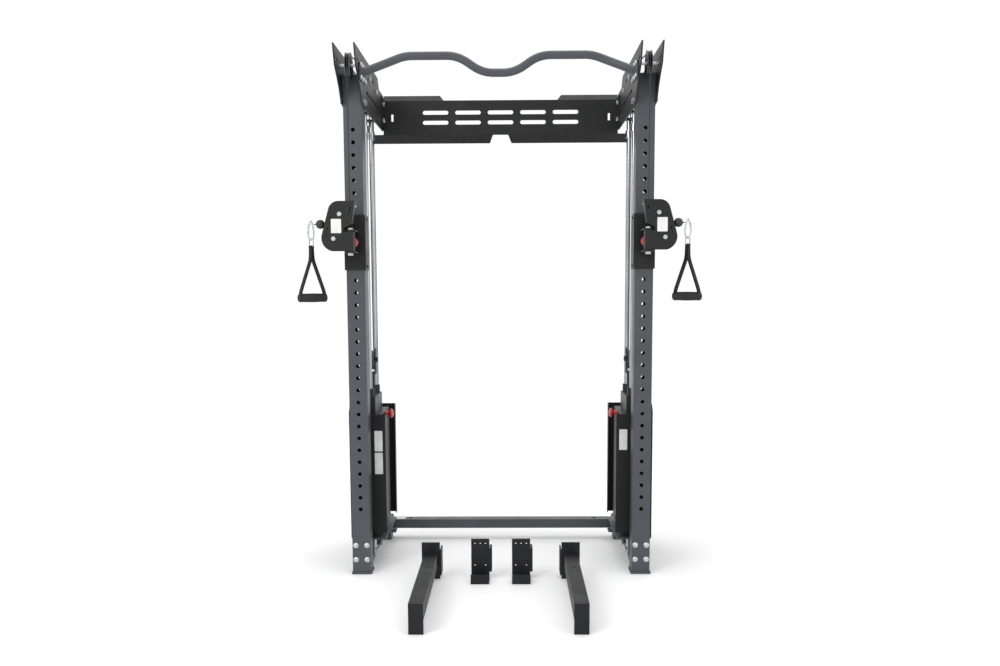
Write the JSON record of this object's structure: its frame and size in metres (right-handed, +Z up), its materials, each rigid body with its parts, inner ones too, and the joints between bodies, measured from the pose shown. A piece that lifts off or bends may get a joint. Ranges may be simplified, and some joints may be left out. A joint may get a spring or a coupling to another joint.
{
  "type": "functional trainer",
  "caption": "Twin-stack cable trainer: two drilled uprights with sliding swivel pulley carriages, D-handles, weight stacks, pull-up bar, J-cups and spotter arms.",
  "frame": {"origin": "on the floor, in the middle of the outline of the whole set: on the centre plane between the two uprights, 26.5 mm in front of the front face of the uprights", "axes": "+Z up, +X to the right as seen by a user facing the machine, +Y away from the user towards the weight stacks and rear panel"},
  "size_m": [1.5856, 1.389, 2.12],
  "materials": {
    "frame_paint": "textured slate-grey powder coat",
    "black_paint": "matte black powder coat",
    "shroud_paint": "matte black sheet-metal cover",
    "rod_chrome": "polished chrome",
    "bumper_rubber": "black rubber",
    "stack_iron": "black painted iron",
    "zinc_steel": "zinc-plated steel",
    "cable_steel": "black coated steel cable",
    "sheave_metal": "machined grey aluminium",
    "red_plastic": "red anodised knob on a steel pin",
    "handle_webbing": "black nylon webbing with steel links",
    "attachment_paint": "matte black powder coat"
  },
  "bodies": {
    "frame": {"upright_left": "frame_paint", "upright_right": "frame_paint", "top_plates_inner": "black_paint", "top_plates_outer": "black_paint", "pull_up_bar": "frame_paint", "rear_panel": "black_paint", "lower_cross_beam": "frame_paint", "base_rails": "frame_paint", "guide_rods": "rod_chrome", "stack_bumpers": "bumper_rubber", "weight_plates": "stack_iron", "front_shrouds": "shroud_paint", "rear_shrouds": "shroud_paint", "outer_covers": "shroud_paint", "frame_bolts": "zinc_steel", "low_pulley_brackets": "zinc_steel", "cable_fixed": "cable_steel"},
    "carriage_left": {"carriage_left": "black_paint", "hinge_bolt_left": "zinc_steel", "cable_front_left": "cable_steel", "cable_rear_left": "cable_steel"},
    "pop_pin_left": {"pop_pin_left": "red_plastic"},
    "swivel_arm_left": {"swivel_housing_left": "black_paint", "cable_end_left": "cable_steel"},
    "arm_pulley_upper_left": {"arm_pulley_upper_left": "sheave_metal"},
    "arm_pulley_lower_left": {"arm_pulley_lower_left": "sheave_metal"},
    "handle_left": {"pull_handle_left": "handle_webbing"},
    "top_front_pulley_left": {"top_front_pulley_left": "sheave_metal"},
    "top_mid_pulley_left": {"top_mid_pulley_left": "sheave_metal"},
    "top_back_pulley_left": {"top_back_pulley_left": "sheave_metal"},
    "low_rear_pulley_left": {"low_rear_pulley_left": "sheave_metal"},
    "low_front_pulley_left": {"low_front_pulley_left": "sheave_metal"},
    "travel_pulley_left": {"travel_pulley_left": "sheave_metal"},
    "lift_head_left": {"lift_head_left": "stack_iron", "cable_stack_left": "cable_steel"},
    "selector_pin_left": {"selector_pin_left": "red_plastic"},
    "carriage_right": {"carriage_right": "black_paint", "hinge_bolt_right": "zinc_steel", "cable_front_right": "cable_steel", "cable_rear_right": "cable_steel"},
    "pop_pin_right": {"pop_pin_right": "red_plastic"},
    "swivel_arm_right": {"swivel_housing_right": "black_paint", "cable_end_right": "cable_steel"},
    "arm_pulley_upper_right": {"arm_pulley_upper_right": "sheave_metal"},
    "arm_pulley_lower_right": {"arm_pulley_lower_right": "sheave_metal"},
    "handle_right": {"pull_handle_right": "handle_webbing"},
    "top_front_pulley_right": {"top_front_pulley_right": "sheave_metal"},
    "top_mid_pulley_right": {"top_mid_pulley_right": "sheave_metal"},
    "top_back_pulley_right": {"top_back_pulley_right": "sheave_metal"},
    "low_rear_pulley_right": {"low_rear_pulley_right": "sheave_metal"},
    "low_front_pulley_right": {"low_front_pulley_right": "sheave_metal"},
    "travel_pulley_right": {"travel_pulley_right": "sheave_metal"},
    "lift_head_right": {"lift_head_right": "stack_iron", "cable_stack_right": "cable_steel"},
    "selector_pin_right": {"selector_pin_right": "red_plastic"},
    "j_cup_left": {"j_cup_left": "attachment_paint"},
    "spotter_arm_left": {"spotter_arm_left": "attachment_paint"},
    "j_cup_right": {"j_cup_right": "attachment_paint"},
    "spotter_arm_right": {"spotter_arm_right": "attachment_paint"}
  },
  "joints": [
    {"name": "carriage_slide_left", "type": "slide", "parent": "frame", "child": "carriage_left", "axis": [0, 0, 1], "range_m": [-1, 0.4], "deforming": ["cable_front_left", "cable_rear_left"]},
    {"name": "pop_pin_left", "type": "slide", "parent": "carriage_left", "child": "pop_pin_left", "axis": [0, -1, 0], "range_m": [-0.0075, 0.0105], "stiffness_N_per_m": 400, "springref_m": -0.0075},
    {"name": "arm_swivel_left", "type": "hinge", "parent": "carriage_left", "child": "swivel_arm_left", "pos_m": [-0.585, -0.0885, 1.38], "axis": [0, 0, 1], "range_deg": [0, 180]},
    {"name": "arm_pulley_upper_left", "type": "hinge", "parent": "swivel_arm_left", "child": "arm_pulley_upper_left", "pos_m": [-0.623, -0.0885, 1.484], "axis": [0, 1, 0], "continuous": true},
    {"name": "arm_pulley_lower_left", "type": "hinge", "parent": "swivel_arm_left", "child": "arm_pulley_lower_left", "pos_m": [-0.648, -0.0885, 1.389], "axis": [0, -1, 0], "continuous": true},
    {"name": "handle_swing_left", "type": "hinge", "parent": "swivel_arm_left", "child": "handle_left", "pos_m": [-0.74, -0.0885, 1.45], "axis": [0, 1, 0], "range_deg": [0, 80]},
    {"name": "top_front_pulley_left", "type": "hinge", "parent": "frame", "child": "top_front_pulley_left", "pos_m": [-0.585, -0.0435, 2.06], "axis": [1, 0, 0], "continuous": true},
    {"name": "top_mid_pulley_left", "type": "hinge", "parent": "frame", "child": "top_mid_pulley_left", "pos_m": [-0.562, 0.2095, 2.06], "axis": [1, 0, 0], "continuous": true},
    {"name": "top_back_pulley_left", "type": "hinge", "parent": "frame", "child": "top_back_pulley_left", "pos_m": [-0.562, 0.4005, 2.045], "axis": [1, 0, 0], "continuous": true},
    {"name": "low_rear_pulley_left", "type": "hinge", "parent": "frame", "child": "low_rear_pulley_left", "pos_m": [-0.562, 0.4205, 0.066], "axis": [1, 0, 0], "continuous": true},
    {"name": "low_front_pulley_left", "type": "hinge", "parent": "frame", "child": "low_front_pulley_left", "pos_m": [-0.562, 0.1635, 0.066], "axis": [1, 0, 0], "continuous": true},
    {"name": "stack_lift_left", "type": "slide", "parent": "frame", "child": "lift_head_left", "axis": [0, 0, 1], "range_m": [0, 0.97], "deforming": ["cable_stack_left"]},
    {"name": "travel_pulley_left", "type": "hinge", "parent": "lift_head_left", "child": "travel_pulley_left", "pos_m": [-0.562, 0.2965, 0.885], "axis": [1, 0, 0], "continuous": true},
    {"name": "selector_pin_left", "type": "slide", "parent": "lift_head_left", "child": "selector_pin_left", "axis": [1, 0, 0], "range_m": [0, 0.078]},
    {"name": "carriage_slide_right", "type": "slide", "parent": "frame", "child": "carriage_right", "axis": [0, 0, 1], "range_m": [-1, 0.4], "deforming": ["cable_front_right", "cable_rear_right"]},
    {"name": "pop_pin_right", "type": "slide", "parent": "carriage_right", "child": "pop_pin_right", "axis": [0, -1, 0], "range_m": [-0.0075, 0.0105], "stiffness_N_per_m": 400, "springref_m": -0.0075},
    {"name": "arm_swivel_right", "type": "hinge", "parent": "carriage_right", "child": "swivel_arm_right", "pos_m": [0.585, -0.0885, 1.38], "axis": [0, 0, -1], "range_deg": [0, 180]},
    {"name": "arm_pulley_upper_right", "type": "hinge", "parent": "swivel_arm_right", "child": "arm_pulley_upper_right", "pos_m": [0.623, -0.0885, 1.484], "axis": [0, -1, 0], "continuous": true},
    {"name": "arm_pulley_lower_right", "type": "hinge", "parent": "swivel_arm_right", "child": "arm_pulley_lower_right", "pos_m": [0.648, -0.0885, 1.389], "axis": [0, 1, 0], "continuous": true},
    {"name": "handle_swing_right", "type": "hinge", "parent": "swivel_arm_right", "child": "handle_right", "pos_m": [0.74, -0.0885, 1.45], "axis": [0, -1, 0], "range_deg": [0, 80]},
    {"name": "top_front_pulley_right", "type": "hinge", "parent": "frame", "child": "top_front_pulley_right", "pos_m": [0.585, -0.0435, 2.06], "axis": [1, 0, 0], "continuous": true},
    {"name": "top_mid_pulley_right", "type": "hinge", "parent": "frame", "child": "top_mid_pulley_right", "pos_m": [0.562, 0.2095, 2.06], "axis": [1, 0, 0], "continuous": true},
    {"name": "top_back_pulley_right", "type": "hinge", "parent": "frame", "child": "top_back_pulley_right", "pos_m": [0.562, 0.4005, 2.045], "axis": [1, 0, 0], "continuous": true},
    {"name": "low_rear_pulley_right", "type": "hinge", "parent": "frame", "child": "low_rear_pulley_right", "pos_m": [0.562, 0.4205, 0.066], "axis": [1, 0, 0], "continuous": true},
    {"name": "low_front_pulley_right", "type": "hinge", "parent": "frame", "child": "low_front_pulley_right", "pos_m": [0.562, 0.1635, 0.066], "axis": [1, 0, 0], "continuous": true},
    {"name": "stack_lift_right", "type": "slide", "parent": "frame", "child": "lift_head_right", "axis": [0, 0, 1], "range_m": [0, 0.97], "deforming": ["cable_stack_right"]},
    {"name": "travel_pulley_right", "type": "hinge", "parent": "lift_head_right", "child": "travel_pulley_right", "pos_m": [0.562, 0.2965, 0.885], "axis": [1, 0, 0], "continuous": true},
    {"name": "selector_pin_right", "type": "slide", "parent": "lift_head_right", "child": "selector_pin_right", "axis": [-1, 0, 0], "range_m": [0, 0.078]},
    {"name": "j_cup_lift_off_left", "type": "slide", "parent": "frame", "child": "j_cup_left", "axis": [0, 0, 1], "range_m": [0, 0.5]},
    {"name": "spotter_arm_lift_off_left", "type": "slide", "parent": "frame", "child": "spotter_arm_left", "axis": [0, 0, 1], "range_m": [0, 0.5]},
    {"name": "j_cup_lift_off_right", "type": "slide", "parent": "frame", "child": "j_cup_right", "axis": [0, 0, 1], "range_m": [0, 0.5]},
    {"name": "spotter_arm_lift_off_right", "type": "slide", "parent": "frame", "child": "spotter_arm_right", "axis": [0, 0, 1], "range_m": [0, 0.5]}
  ],
  "couplings": [
    {"joint": "top_front_pulley_left", "follows": "stack_lift_left", "rad_per_m": 44.444},
    {"joint": "top_mid_pulley_left", "follows": "stack_lift_left", "rad_per_m": 44.444},
    {"joint": "arm_pulley_upper_left", "follows": "stack_lift_left", "rad_per_m": 52.632},
    {"joint": "travel_pulley_left", "follows": "stack_lift_left", "rad_per_m": -23.809},
    {"joint": "top_back_pulley_left", "follows": "carriage_slide_left", "rad_per_m": -16.129},
    {"joint": "low_rear_pulley_left", "follows": "carriage_slide_left", "rad_per_m": -23.809},
    {"joint": "low_front_pulley_left", "follows": "carriage_slide_left", "rad_per_m": -23.809},
    {"joint": "top_front_pulley_right", "follows": "stack_lift_right", "rad_per_m": 44.444},
    {"joint": "top_mid_pulley_right", "follows": "stack_lift_right", "rad_per_m": 44.444},
    {"joint": "arm_pulley_upper_right", "follows": "stack_lift_right", "rad_per_m": 52.632},
    {"joint": "travel_pulley_right", "follows": "stack_lift_right", "rad_per_m": -23.809},
    {"joint": "top_back_pulley_right", "follows": "carriage_slide_right", "rad_per_m": -16.129},
    {"joint": "low_rear_pulley_right", "follows": "carriage_slide_right", "rad_per_m": -23.809},
    {"joint": "low_front_pulley_right", "follows": "carriage_slide_right", "rad_per_m": -23.809}
  ]
}
